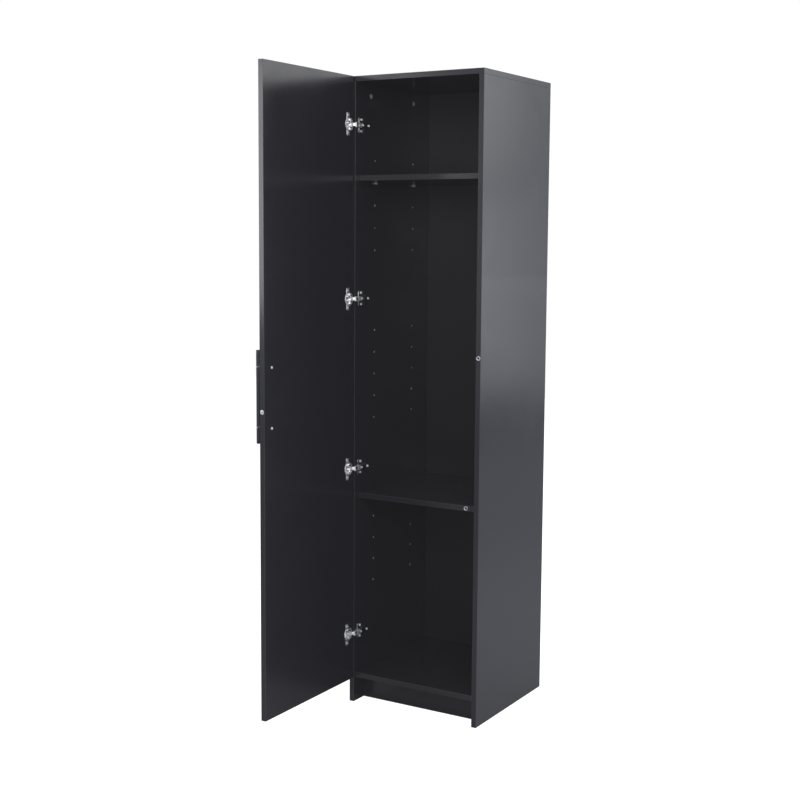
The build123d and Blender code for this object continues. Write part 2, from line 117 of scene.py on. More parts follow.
def blendValue(tree, factor, first, second):
    node = tree.nodes.new("ShaderNodeMix")
    for index, value in ((0, factor), (2, first), (3, second)):
        feed(tree, node.inputs[index], value)
    return node.outputs[0]


def newGroup(name, inputs, outputs):
    tree = bpy.data.node_groups.new(name, "ShaderNodeTree")
    for label, kind, start in inputs:
        socket = tree.interface.new_socket(label, in_out="INPUT", socket_type="NodeSocket" + kind)
        if start is not None:
            socket.default_value = start
    for label, kind in outputs:
        tree.interface.new_socket(label, in_out="OUTPUT", socket_type="NodeSocket" + kind)
    return tree, tree.nodes.new("NodeGroupInput").outputs, tree.nodes.new("NodeGroupOutput").inputs


def useGroup(tree, group, **values):
    node = tree.nodes.new("ShaderNodeGroup")
    node.node_tree = group
    for label, value in values.items():
        feed(tree, node.inputs[label], value)
    return node.outputs


def rgb(red, green, blue):
    return (red, green, blue, 1.0)


# metres in from the board's faces
boardSkin = {"skinEnd": 0.00022, "coreStart": 0.00045, "arrisWidth": 0.0012}


def makeBoardZones():
    # how far a point is inside the board's box: Core is 1 deeper than the skin, and Arris is 1 along the
    # edges, where two of the three distances to the box's faces are small
    tree, given, out = newGroup(
        "boardZones",
        [("Place", "Vector", None), ("Low", "Vector", None), ("High", "Vector", None),
         ("Arris", "Float", boardSkin["arrisWidth"])],
        [("Core", "Float"), ("Arris", "Float")],
    )
    fromLow = calcVector(tree, "SUBTRACT", given["Place"], given["Low"])
    fromHigh = calcVector(tree, "SUBTRACT", given["High"], given["Place"])
    x, y, z = axesOf(tree, calcVector(tree, "MINIMUM", fromLow, fromHigh))
    nearest = calc(tree, "MINIMUM", calc(tree, "MINIMUM", x, y), z)
    feed(tree, out["Core"], remap(tree, nearest, boardSkin["skinEnd"], boardSkin["coreStart"]))
    closeness = [remap(tree, axis, 0.0, given["Arris"], 1.0, 0.0) for axis in (x, y, z)]
    pairs = [calc(tree, "MULTIPLY", closeness[i], closeness[(i + 1) % 3]) for i in range(3)]
    total = calc(tree, "ADD", calc(tree, "ADD", pairs[0], pairs[1]), pairs[2], clamp=True)
    feed(tree, out["Arris"], total)
    return tree


def makeHandling():
    # cloudy smudges, hair-fine scratches in two directions and sparse dust specks
    tree, given, out = newGroup(
        "handling",
        [("Place", "Vector", None), ("Size", "Float", 1.0)],
        [("Smudge", "Float"), ("Scratch", "Float"), ("Dust", "Float")],
    )
    scaled = tree.nodes.new("ShaderNodeVectorMath")
    scaled.operation = "SCALE"
    feed(tree, scaled.inputs[0], given["Place"])
    feed(tree, scaled.inputs["Scale"], given["Size"])
    place = scaled.outputs["Vector"]
    feed(tree, out["Smudge"], remap(tree, noise(tree, place, 5.5, 5.0, 0.6, 0.4), 0.32, 0.68))
    lines = []
    for stretch in ((3.0, 210.0, 26.0), (190.0, 5.0, 22.0)):
        along = calcVector(tree, "MULTIPLY", place, stretch)
        lines.append(remap(tree, noise(tree, along, 1.6, 1.0, 0.5), 0.70, 0.74))
    scratch = calc(tree, "MAXIMUM", lines[0], lines[1])
    patch = remap(tree, noise(tree, place, 9.0, 2.0), 0.5, 0.62)
    feed(tree, out["Scratch"], calc(tree, "MULTIPLY", scratch, patch))
    specks = remap(tree, cells(tree, place, 260.0), 0.05, 0.11, 1.0, 0.0)
    few = remap(tree, noise(tree, place, 60.0, 2.0), 0.6, 0.66)
    feed(tree, out["Dust"], calc(tree, "MULTIPLY", specks, few))
    return tree


def makePeel():
    # a pressed or sprayed skin: broad ripple plus fine pebble, heights 0 to 1
    tree, given, out = newGroup(
        "peel",
        [("Place", "Vector", None), ("Ripple", "Float", 90.0), ("Pebble", "Float", 900.0)],
        [("Height", "Float")],
    )
    broad = noise(tree, given["Place"], given["Ripple"], 2.0)
    fine = noise(tree, given["Place"], given["Pebble"], 2.0, 0.6)
    pebble = calc(tree, "MULTIPLY", fine, 0.45)
    feed(tree, out["Height"], calc(tree, "MULTIPLY_ADD", broad, 0.55, pebble))
    return tree


def makeBrushing():
    # fine parallel lines: noise squeezed across the brushing direction
    tree, given, out = newGroup(
        "brushing",
        [("Place", "Vector", None), ("Stretch", "Vector", (900.0, 900.0, 40.0))],
        [("Line", "Float"), ("Tarnish", "Float")],
    )
    along = calcVector(tree, "MULTIPLY", given["Place"], given["Stretch"])
    feed(tree, out["Line"], noise(tree, along, 1.0, 4.0, 0.65))
    feed(tree, out["Tarnish"], remap(tree, noise(tree, given["Place"], 140.0, 4.0, 0.6, 0.6), 0.35, 0.7))
    return tree


def makeChips():
    # pressed wood chips: flat flakes of several browns with dark gaps
    tree, given, out = newGroup(
        "chips",
        [("Place", "Vector", None), ("Size", "Float", 520.0)],
        [("Colour", "Color"), ("Height", "Float")],
    )
    place = calcVector(tree, "MULTIPLY", given["Place"], (1.0, 1.0, 1.9))
    flake = cells(tree, place, given["Size"], "Color")
    tone = axesOf(tree, flake)[0]
    pale = blendColour(tree, tone, rgb(0.56, 0.44, 0.31), rgb(0.88, 0.77, 0.60))
    gap = remap(tree, cells(tree, place, given["Size"]), 0.35, 0.6)
    feed(tree, out["Colour"], blendColour(tree, gap, pale, rgb(0.13, 0.08, 0.045)))
    feed(tree, out["Height"], calc(tree, "SUBTRACT", tone, gap))
    return tree


boardZones = makeBoardZones()
handling = makeHandling()
peel = makePeel()
brushing = makeBrushing()
chips = makeChips()
print("surface effects ready")


def startMaterial(name, **settings):
    material = bpy.data.materials.new(name)
    material.use_nodes = True
    tree = material.node_tree
    shader = tree.nodes["Principled BSDF"]
    for label, value in settings.items():
        shader.inputs[label.replace("_", " ")].default_value = value
    place = tree.nodes.new("ShaderNodeTexCoord").outputs["Object"]
    return material, tree, shader, place


def addBump(tree, shader, height, strength, distance):
    bump = tree.nodes.new("ShaderNodeBump")
    bump.inputs["Strength"].default_value = strength
    bump.inputs["Distance"].default_value = distance
    feed(tree, bump.inputs["Height"], height)
    tree.links.new(bump.outputs["Normal"], shader.inputs["Normal"])


boardLook = {
    "black": rgb(0.0142, 0.0136, 0.0165),
    # arris: lighter along the edges, partly edge wear and partly a painted highlight where light catches the
    # arrises
    "arris": rgb(0.040, 0.039, 0.045),
    "dust": rgb(0.06, 0.06, 0.064),
    "gloss": (0.17, 0.24),
    "peelDepth": 0.00010,
}


def boardMaterial(node):
    # black melamine on chipboard; the bare chips show only where the board is drilled
    look = boardLook
    low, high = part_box(node)
    material, tree, shader, place = startMaterial("melamine_" + node, IOR=1.5)
    zones = useGroup(tree, boardZones, Place=place, Low=tuple(low), High=tuple(high))
    marks = useGroup(tree, handling, Place=place, Size=1.0)
    skin = useGroup(tree, peel, Place=place, Ripple=70.0, Pebble=1100.0)
    core = useGroup(tree, chips, Place=place, Size=520.0)
    # the arris mask lightens the black along the edges: partly edge wear, partly a painted highlight on the
    # arrises
    colour = blendColour(tree, zones["Arris"], look["black"], look["arris"])
    dusty = calc(tree, "MULTIPLY", marks["Dust"], 0.25)
    colour = blendColour(tree, dusty, colour, look["dust"])
    colour = blendColour(tree, zones["Core"], colour, core["Colour"])
    feed(tree, shader.inputs["Base Color"], colour)
    rough = remap(tree, marks["Smudge"], 0.0, 1.0, *look["gloss"])
    rough = calc(tree, "ADD", rough, calc(tree, "MULTIPLY", marks["Scratch"], 0.03))
    rough = calc(tree, "ADD", rough, calc(tree, "MULTIPLY", dusty, 0.3))
    feed(tree, shader.inputs["Roughness"], blendValue(tree, zones["Core"], rough, 0.92))
    height = blendValue(tree, zones["Core"], skin["Height"], calc(tree, "MULTIPLY", core["Height"], 2.5))
    addBump(tree, shader, height, 0.22, look["peelDepth"])
    return material


hardboardLook = {
    # front: partly the hardboard's own lacquer, partly painted shade that darkens the back of the cabinet
    "front": rgb(0.0100, 0.0097, 0.0115),
    "rear": (rgb(0.20, 0.125, 0.07), rgb(0.36, 0.25, 0.15)),
    "frontGloss": (0.34, 0.44),
    "rearGloss": 0.85,
    "screenLines": 620.0,  # pressed into the rear, a metre
}


def hardboardMaterial(node):
    # lacquered black towards the inside, darker than the boards' black: partly the hardboard's own tone,
    # partly painted shade at the back of the cabinet; bare brown at the rear with a pressed screen pattern:
    # the product of a sine across and a sine upwards
    look = hardboardLook
    low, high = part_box(node)
    material, tree, shader, place = startMaterial("hardboard")
    x, y, z = axesOf(tree, place)
    rear = remap(tree, y, low.y + 0.0004, low.y + 0.0008)
    fibre = noise(tree, calcVector(tree, "MULTIPLY", place, (1.0, 1.0, 0.6)), 240.0, 6.0, 0.7, 0.8)
    cloud = noise(tree, place, 7.0, 4.0)
    blotch = calc(tree, "MULTIPLY_ADD", fibre, 0.8, calc(tree, "MULTIPLY", cloud, 0.3))
    brown = blendColour(tree, blotch, *look["rear"])
    feed(tree, shader.inputs["Base Color"], blendColour(tree, rear, look["front"], brown))
    frontRough = remap(tree, cloud, 0.3, 0.7, *look["frontGloss"])
    feed(tree, shader.inputs["Roughness"], blendValue(tree, rear, frontRough, look["rearGloss"]))
    turns = look["screenLines"] * 2 * math.pi
    waves = [calc(tree, "SINE", calc(tree, "MULTIPLY", axis, turns)) for axis in (x, z)]
    screen = calc(tree, "MULTIPLY", *waves)
    relief = calc(tree, "MULTIPLY_ADD", screen, 0.5, fibre)
    height = blendValue(tree, rear, noise(tree, place, 800.0, 2.0), relief)
    addBump(tree, shader, height, 0.3, 0.00012)
    return material


metalLooks = {
    "nickel": {
        "bright": rgb(0.74, 0.74, 0.74), "dull": rgb(0.60, 0.60, 0.605), "gloss": (0.07, 0.15),
        "stretch": (500.0, 500.0, 60.0), "depth": 0.000008,
    },
    "satinNickel": {
        "bright": rgb(0.88, 0.885, 0.89), "dull": rgb(0.70, 0.705, 0.71), "gloss": (0.40, 0.56),
        "stretch": (500.0, 900.0, 90.0), "depth": 0.00002,
    },
    "brightSteel": {
        "bright": rgb(0.86, 0.87, 0.89), "dull": rgb(0.66, 0.66, 0.67), "gloss": (0.34, 0.48),
        "stretch": (700.0, 120.0, 700.0), "depth": 0.00002,
    },
    "castZinc": {
        "bright": rgb(0.80, 0.81, 0.83), "dull": rgb(0.58, 0.58, 0.60), "gloss": (0.40, 0.56),
        "stretch": (420.0, 420.0, 420.0), "depth": 0.00005,
    },
}


def metalMaterial(name):
    # brushed lines set the roughness, tarnish dulls the colour in clouds
    look = metalLooks[name]
    material, tree, shader, place = startMaterial(name, Metallic=1.0)
    lines = useGroup(tree, brushing, Place=place, Stretch=look["stretch"])
    marks = useGroup(tree, handling, Place=place, Size=6.0)
    colour = blendColour(tree, lines["Tarnish"], look["bright"], look["dull"])
    feed(tree, shader.inputs["Base Color"], colour)
    rough = remap(tree, lines["Line"], 0.25, 0.75, *look["gloss"])
    rough = calc(tree, "ADD", rough, calc(tree, "MULTIPLY", marks["Smudge"], 0.06))
    feed(tree, shader.inputs["Roughness"], rough)
    height = calc(tree, "SUBTRACT", lines["Line"], calc(tree, "MULTIPLY", marks["Scratch"], 0.6))
    addBump(tree, shader, height, 0.25, look["depth"])
    return material


powderLook = {"black": rgb(0.014, 0.014, 0.016), "worn": rgb(0.05, 0.05, 0.055), "gloss": (0.32, 0.42)}


def powderMaterial():
    # satin black powder coat with a fine pebble
    look = powderLook
    material, tree, shader, place = startMaterial("blackPowderCoat")
    skin = useGroup(tree, peel, Place=place, Ripple=420.0, Pebble=2200.0)
    marks = useGroup(tree, handling, Place=place, Size=3.0)
    colour = blendColour(tree, calc(tree, "MULTIPLY", marks["Scratch"], 0.5), look["black"], look["worn"])
    feed(tree, shader.inputs["Base Color"], colour)
    feed(tree, shader.inputs["Roughness"], remap(tree, marks["Smudge"], 0.0, 1.0, *look["gloss"]))
    addBump(tree, shader, skin["Height"], 0.35, 0.00008)
    return material


beechLook = {"light": rgb(0.58, 0.38, 0.22), "dark": rgb(0.36, 0.21, 0.11)}


def beechMaterial():
    # rings of growth with short darker rays
    look = beechLook
    material, tree, shader, place = startMaterial("beech")
    along = calcVector(tree, "MULTIPLY", place, (160.0, 1400.0, 1400.0))
    grain = noise(tree, along, 1.0, 5.0, 0.6, 0.8)
    ray = remap(tree, noise(tree, calcVector(tree, "MULTIPLY", place, (500.0, 3000.0, 900.0)), 1.0), 0.6, 0.7)
    colour = blendColour(tree, calc(tree, "ADD", grain, calc(tree, "MULTIPLY", ray, 0.4), clamp=True),
                         look["light"], look["dark"])
    feed(tree, shader.inputs["Base Color"], colour)
    feed(tree, shader.inputs["Roughness"], remap(tree, grain, 0.3, 0.7, 0.55, 0.7))
    addBump(tree, shader, grain, 0.3, 0.0001)
    return material


rubberLook = {"black": rgb(0.006, 0.006, 0.007), "raised": rgb(0.02, 0.02, 0.022), "gloss": (0.5, 0.65)}


def rubberMaterial():
    # the soft dark button in the middle of a press-in insert
    look = rubberLook
    material, tree, shader, place = startMaterial("darkInsert")
    skin = useGroup(tree, peel, Place=place, Ripple=700.0, Pebble=3000.0)
    colour = blendColour(tree, skin["Height"], look["black"], look["raised"])
    feed(tree, shader.inputs["Base Color"], colour)
    feed(tree, shader.inputs["Roughness"], remap(tree, skin["Height"], 0.2, 0.8, *look["gloss"]))
    addBump(tree, shader, skin["Height"], 0.3, 0.0001)
    return material


slotMaterials = {
    "nickel": metalMaterial("nickel"),
    "bright_steel": metalMaterial("brightSteel"),
    "zinc": metalMaterial("castZinc"),
    "black_metal": powderMaterial(),
    "beech": beechMaterial(),
}
rubber = rubberMaterial()
satinNickel = metalMaterial("satinNickel")

for part in frame["record"]["subparts"]:
    name, slot = part["node"], part["material_slot"]
    if slot == "black_board":
        chosen = boardMaterial(name)
    elif slot == "hardboard":
        chosen = hardboardMaterial(name)
    else:
        chosen = slotMaterials[slot]
    mesh = nodes[name].data
    mesh.materials.clear()
    mesh.materials.append(chosen)
print("materials on every CAD node")


def solidsOf(node):
    # boxes of the separate solids in one CAD node: triangles that share a point belong together
    mesh = nodes[node].data
    points = np.empty(len(mesh.vertices) * 3)
    mesh.vertices.foreach_get("co", points)
    points = points.reshape(-1, 3)
    _, same = np.unique(np.round(points, 6), axis=0, return_inverse=True)
    same = same.reshape(-1)
    mesh.calc_loop_triangles()
    corners = np.empty(len(mesh.loop_triangles) * 3, dtype=np.int64)
    mesh.loop_triangles.foreach_get("vertices", corners)
    triangles = same[corners.reshape(-1, 3)]
    label = np.arange(same.max() + 1)
    while True:
        lowest = label[triangles].min(axis=1)
        fresh = label.copy()
        for corner in range(3):
            np.minimum.at(fresh, triangles[:, corner], lowest)
        fresh = fresh[fresh]
        if np.array_equal(fresh, label):
            break
        label = fresh
    owner = label[same]
    boxes = [(points[owner == k].min(axis=0), points[owner == k].max(axis=0)) for k in np.unique(owner)]
    return sorted(boxes, key=lambda b: (round(b[0][2], 4), round(b[0][1], 4), round(b[0][0], 4)))


def gridShell(points, roundAbout=True, caps=True):
    # points[row, column]: rows run along the piece, columns round it; ends are closed by one face each
    rows, columns = points.shape[:2]
    index = np.arange(rows * columns).reshape(rows, columns)
    last = columns if roundAbout else columns - 1
    left = index[:, :last]
    right = np.roll(index, -1, axis=1)[:, :last]
    quads = np.stack([left[:-1], right[:-1], right[1:], left[1:]], axis=-1).reshape(-1, 4)
    faces = quads.tolist()
    if caps:
        faces.append(index[0, ::-1].tolist())
        faces.append(index[-1].tolist())
    return points.reshape(-1, 3), faces


def frameAlong(axis):
    # two directions square to the axis, right-handed with it
    axis = np.asarray(axis, float)
    axis = axis / np.linalg.norm(axis)
    side = np.cross((0.0, 0.0, 1.0) if abs(axis[2]) < 0.9 else (1.0, 0.0, 0.0), axis)
    side = side / np.linalg.norm(side)
    return side, np.cross(axis, side), axis


def turned(profile, start, axis, columns=48):
    # a lathe shape: each profile pair (radius, distance along the axis) swept through a full turn
    profile = np.asarray(profile, float)
    side, up, along = frameAlong(axis)
    angle = np.linspace(0, 2 * math.pi, columns, endpoint=False)
    ring = np.cos(angle)[:, None] * side + np.sin(angle)[:, None] * up
    points = np.asarray(start) + profile[:, 0, None, None] * ring[None] + profile[:, 1, None, None] * along
    return gridShell(points)


def roundedCorner(radius, height, bend, steps=5, up=True):
    # a quarter circle from the side of a turned profile onto its end face
    angle = np.linspace(0, math.pi / 2, steps)
    radii = radius - bend + bend * np.cos(angle)
    heights = bend * np.sin(angle) - bend
    pairs = np.stack([radii, height + heights if up else height - heights], axis=1)
    return pairs if up else pairs[::-1]


def crossHead(start, axis, radius, height, dome, recess, depth, skirt=0.0, columns=64, rings=22, blades=2,
              width=0.30, twist=0.4, rim=0.12):
    # a driver head: height over the plane is the dome, high in the middle and falling with the square of the
    # radius, less a recess of crossed bars whose walls are smooth steps; the edge rolls down to the base
    side, up, along = frameAlong(axis)
    angle = np.linspace(0, 2 * math.pi, columns, endpoint=False)
    share = np.linspace(0, 1, rings) ** 0.85
    radii = share[:, None] * radius
    x = radii * np.cos(angle)
    y = radii * np.sin(angle)
    rolled = np.clip((share - (1 - rim)) / rim, 0, 1)
    edge = 1 - np.sqrt(np.clip(1 - rolled ** 2, 0, 1))
    top = height - dome * share ** 2 - edge * (height - dome) * 0.55
    sunk = np.zeros_like(x)
    for blade in range(blades):
        turn = twist + blade * math.pi / blades
        across = -x * math.sin(turn) + y * math.cos(turn)
        alongBar = x * math.cos(turn) + y * math.sin(turn)
        inBar = np.clip((width * recess - np.abs(across)) / (0.12 * recess) + 0.5, 0, 1)
        inBar = inBar * np.clip((recess - np.abs(alongBar)) / (0.15 * recess) + 0.5, 0, 1)
        sunk = np.maximum(sunk, inBar)
    lift = top[:, None] - depth * sunk * sunk * (3 - 2 * sunk)
    centre = np.asarray(start, float)
    points = centre + x[..., None] * side + y[..., None] * up + lift[..., None] * along
    rimPoints = centre + radius * (np.cos(angle)[:, None] * side + np.sin(angle)[:, None] * up)
    base = rimPoints - skirt * along
    floor = np.broadcast_to(centre - skirt * along, base.shape)
    points = np.concatenate([points, base[None], floor[None]], axis=0)
    return gridShell(points, caps=False)


def outlineNormals(outline):
    # outward directions of a closed flat outline that runs anticlockwise
    ahead = np.roll(outline, -1, axis=0) - np.roll(outline, 1, axis=0)
    ahead = ahead / np.maximum(np.linalg.norm(ahead, axis=1, keepdims=True), 1e-9)
    return np.stack([ahead[:, 1], -ahead[:, 0]], axis=1)


def pressedPlate(outline, low, high, bend, place, steps=4):
    # a flat outline given a thickness: rows go from the inset bottom face, round the lower edge by a quarter
    # circle, up the side and round the upper edge; place turns (first, second, height) into x, y, z
    outline = np.asarray(outline, float)
    normals = outlineNormals(outline)
    angle = np.linspace(0, math.pi / 2, steps)
    rise = np.concatenate([low + bend * (1 - np.cos(angle)), high - bend * (1 - np.cos(angle[::-1]))])
    inset = np.concatenate([bend * (1 - np.sin(angle)), bend * (1 - np.sin(angle[::-1]))])
    flat = outline[None] - inset[:, None, None] * normals[None]
    heights = np.broadcast_to(rise[:, None], flat.shape[:2])
    return gridShell(place(flat[..., 0], flat[..., 1], heights))


def roundedRectangle(width, length, corner, centre=(0.0, 0.0), steps=7):
    # quarter circles at the four corners, anticlockwise
    turns = []
    for k, (sx, sy) in enumerate(((1, 1), (-1, 1), (-1, -1), (1, -1))):
        angle = np.linspace(0, math.pi / 2, steps) + k * math.pi / 2
        turns.append(np.stack([sx * (width / 2 - corner) + corner * np.cos(angle),
                               sy * (length / 2 - corner) + corner * np.sin(angle)], axis=1))
    return np.concatenate(turns) + np.asarray(centre)


def swept(path, section, upright):
    # a flat section carried along a path: its first number goes sideways, its second goes upright
    path = np.asarray(path, float)
    section = np.asarray(section, float)
    upright = np.asarray(upright, float)
    ahead = np.gradient(path, axis=0)
    ahead = ahead / np.linalg.norm(ahead, axis=1, keepdims=True)
    sideways = np.cross(ahead, upright)
    points = (path[:, None] + section[None, :, 0, None] * sideways[:, None]
              + section[None, :, 1, None] * upright[None, None])
    return gridShell(points)


def makePiece(name, shells, slot, body, replaced=(), look=None):
    # faces that meet at more than 35 degrees show a sharp edge between them
    vertices, faces, offset = [], [], 0
    for points, shellFaces in shells:
        vertices.append(points)
        faces.extend([[i + offset for i in face] for face in shellFaces])
        offset += len(points)
    mesh = bpy.data.meshes.new(name)
    mesh.from_pydata(np.concatenate(vertices).tolist(), [], faces)
    work = bmesh.new()
    work.from_mesh(mesh)
    bmesh.ops.remove_doubles(work, verts=work.verts, dist=2e-7)
    bmesh.ops.recalc_face_normals(work, faces=work.faces)
    work.to_mesh(mesh)
    work.free()
    mesh.polygons.foreach_set("use_smooth", np.ones(len(mesh.polygons), dtype=bool))
    mesh.set_sharp_from_angle(angle=math.radians(35.0))
    mesh.materials.append(look or slotMaterials[slot])
    piece = bpy.data.objects.new(name, mesh)
    scene.collection.objects.link(piece)
    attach(piece, body)
    if replaced:
        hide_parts(*replaced)


def cornersOf(node):
    return [np.asarray(corner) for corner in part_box(node)]


def layFlat(first, second, height):
    # for pressedPlate: the outline in x and y, its thickness along z
    return np.stack([first, second, height], axis=-1)


def layOnWall(first, second, height):
    # for pressedPlate: the outline in y and z, its thickness along x
    return np.stack([height, first, second], axis=-1)


def middle(box):
    return (np.asarray(box[0], float) + np.asarray(box[1], float)) / 2


handle = {"endBend": 0.0012, "collarRadius": 0.0062, "collarHeight": 0.0016, "seatEdge": 0.0003,
          "frontEdge": 0.0004, "columns": 72}


def makeHandle():
    # turned shapes: the bar is a straight round rod with quarter-circle ends, each post widens to a thin
    # collar where it meets the door
    low, high = cornersOf("handle_bar")
    centre = (low + high) / 2
    radius = (high[0] - low[0]) / 2
    length = high[2] - low[2]
    bend = handle["endBend"]
    lower = roundedCorner(radius, 0.0, bend, up=False)
    upper = roundedCorner(radius, length, bend)
    steps = np.linspace(bend, length - bend, 24)[1:-1]
    shaft = np.stack([np.full_like(steps, radius), steps], axis=1)
    profile = np.concatenate([[(0.0, 0.0)], lower, shaft, upper, [(0.0, length)]])
    start = (centre[0], centre[1], low[2])
    bar = turned(profile, start, (0, 0, 1), handle["columns"])
    makePiece("handleBar", [bar], "black_metal", "door", ["handle_bar"])
    for label in ("lower", "upper"):
        low, high = cornersOf("handle_post_" + label)
        centre = (low + high) / 2
        postRadius = (high[2] - low[2]) / 2
        reach = high[0] - low[0]
        collar, tall = handle["collarRadius"], handle["collarHeight"]
        seat, front = handle["seatEdge"], handle["frontEdge"]
        profile = np.array([
            (0.0, 0.0), (collar - seat, 0.0), (collar, seat), (collar, tall - front), (collar - front, tall),
            (postRadius + seat, tall + front / 2), (postRadius, tall + 2 * seat), (postRadius, reach * 0.5),
            (postRadius, reach - front), (postRadius - front, reach), (0.0, reach),
        ])
        post = turned(profile, (high[0], centre[1], centre[2]), (-1, 0, 0), 48)
        makePiece(f"handlePost_{label}", [post], "black_metal", "door", [f"handle_post_{label}"])


makeHandle()
print("handle done")


def screwLook(body, radius, height, recess, shank):
    return {"body": body, "radius": radius, "height": height, "recess": recess, "shank": shank}


screwLooks = {
    "hinge_plate_screws": screwLook("carcass", 0.0040, 0.0019, 0.0024, 0.0025),
    "hinge_cup_screws": screwLook("door", 0.0036, 0.0017, 0.0020, 0.00175),
    "hinge_fixing_screws": screwLook("carcass", 0.0036, 0.0018, 0.0023, 0.0025),
    "hinge_adjusting_screws": screwLook("carcass", 0.0036, 0.0018, 0.0023, 0.0025),
    "handle_bolts": screwLook("door", 0.0040, 0.0026, 0.0023, 0.0020),
}
thread = {"pitch": 0.0011, "ripple": 0.07, "ringStep": 0.00022, "columns": 16}


def makeScrews():
    # every head looks towards +X: the head is a crossHead on its seat, and the threaded shank is a turned
    # profile whose radius ripples with a sine of the distance along it, once a pitch
    for node, look in screwLooks.items():
        shells = []
        for number, (low, high) in enumerate(solidsOf(node)):
            centre = (low + high) / 2
            tall, shank = look["height"], look["shank"]
            seat = np.array([high[0] - tall, centre[1], centre[2]])
            shells.append(crossHead(seat, (1, 0, 0), look["radius"], tall, tall * 0.35, look["recess"],
                                    tall * 0.62, twist=0.5 + 0.83 * number))
            length = seat[0] - low[0]
            steps = np.linspace(0, length, max(24, int(length / thread["ringStep"])))
            ripple = thread["ripple"]
            radii = shank * (1 - ripple + ripple * np.sin(steps / thread["pitch"] * 2 * math.pi))
            tip = np.clip((length - steps) / (0.8 * shank), 0.25, 1)
            profile = np.concatenate([[(0.0, 0.0)], np.stack([radii * tip, steps], axis=1), [(0.0, length)]])
            overlap = np.array([0.0001, 0, 0])
            shells.append(turned(profile, seat + overlap, (-1, 0, 0), thread["columns"]))
        name = node.replace("_screws", "Screw").replace("_bolts", "Bolt").replace("_", "")
        makePiece(name, shells, "bright_steel", look["body"], [node])


pinLook = {"pegLength": 0.009, "pegRadius": 0.0025, "groove": 0.00035, "headBend": 0.0011, "columns": 40}


def makeShelfPins():
    # peg with a rounded tip, a thin collar against the board and a head with one shallow groove
    shells = []
    for low, high in solidsOf("shelf_pins"):
        centre = (low + high) / 2
        toLeft = centre[0] < 0
        headRadius = (high[2] - low[2]) / 2
        total = high[0] - low[0]
        headLength = total - pinLook["pegLength"]
        peg = pinLook["pegRadius"]
        start = np.array([high[0] if toLeft else low[0], centre[1], centre[2]])
        axis = (-1, 0, 0) if toLeft else (1, 0, 0)
        end = roundedCorner(headRadius, 0.0, pinLook["headBend"], up=False)
        groove = pinLook["groove"]
        profile = np.concatenate([
            [(0.0, 0.0)], end,
            [(headRadius, headLength * 0.42), (headRadius - groove, headLength * 0.47),
             (headRadius - groove, headLength * 0.55), (headRadius, headLength * 0.60),
             (headRadius, headLength - 0.0003), (headRadius - 0.0003, headLength),
             (peg, headLength), (peg, total - 0.0008), (peg - 0.0007, total), (0.0, total)],
        ])
        shells.append(turned(profile, start, axis, pinLook["columns"]))
    makePiece("shelfPins", shells, "bright_steel", "carcass", ["shelf_pins"])


camLook = {"face": 0.0012, "recess": 0.0044, "depth": 0.0010, "lip": 0.0006, "waist": 0.62}


def makeCams():
    # the face of each cam is a low dome with a wide cross recess; behind it the drum is a turned profile with
    # a waist for the bolt's head
    outward = {"top_cam_locks": (1, 0, 0), "floor_cam_locks": (0, 0, -1), "kick_cam_locks": (0, 1, 0)}
    for node, direction in outward.items():
        shells = []
        for low, high in solidsOf(node):
            centre = (low + high) / 2
            axis = np.array(direction, float)
            if node == "top_cam_locks" and centre[0] > 0:
                axis = -axis
            span = np.abs(axis) @ (high - low)
            radius = (high - low).max() / 2
            face, lip, waist = camLook["face"], camLook["lip"], radius * camLook["waist"]
            seat = centre + axis * (span / 2 - face)
            shells.append(crossHead(seat, axis, radius, face, 0.0001, camLook["recess"], camLook["depth"],
                                    skirt=0.0001, twist=0.8, width=0.26, rim=0.06))
            profile = [(0.0, 0.0), (radius - lip, 0.0), (radius, lip), (radius, span * 0.3),
                       (waist, span * 0.36), (waist, span * 0.7), (radius, span * 0.76),
                       (radius, span - face - 0.0002), (radius - lip, span - face), (0.0, span - face)]
            shells.append(turned(profile, centre - axis * span / 2, axis, 48))
        name = node.replace("_cam_locks", "CamLocks")
        makePiece(name, shells, "zinc", "carcass", [node])


insertLook = {"ringShare": 0.62, "bead": 0.0005, "dish": 0.0012, "slotFace": 0.0008, "slotShare": 0.86}


def makeInserts():
    # turned press-in rings: a beaded rim round a dished middle with a dark button in it
    for node in ("panel_edge_disc", "shelf_edge_disc"):
        low, high = cornersOf(node)
        radius, depth = (high[0] - low[0]) / 2, high[1] - low[1]
        front = np.array([(low[0] + high[0]) / 2, low[1], (low[2] + high[2]) / 2])
        inner, bead, dish = radius * insertLook["ringShare"], insertLook["bead"], insertLook["dish"]
        rim = [(0.0, dish), (inner, dish), (inner, dish * 0.4), (inner + bead, 0.0), (radius - bead, 0.0),
               (radius, bead), (radius, depth - 0.0005), (radius - 0.0005, depth), (0.0, depth)]
        name = node.replace("_edge_disc", "EdgeInsert")
        makePiece(name, [turned(rim, front, (0, 1, 0), 56)], "bright_steel", "carcass", [node])
        button = [(0.0, 0.0006), (inner * 0.5, 0.0007), (inner * 0.85, 0.0009), (inner * 0.97, dish),
                  (inner * 0.97, dish + 0.0006), (0.0, dish + 0.0006)]
        makePiece(name + "Button", [turned(button, front, (0, 1, 0), 40)], None, "carcass", look=rubber)


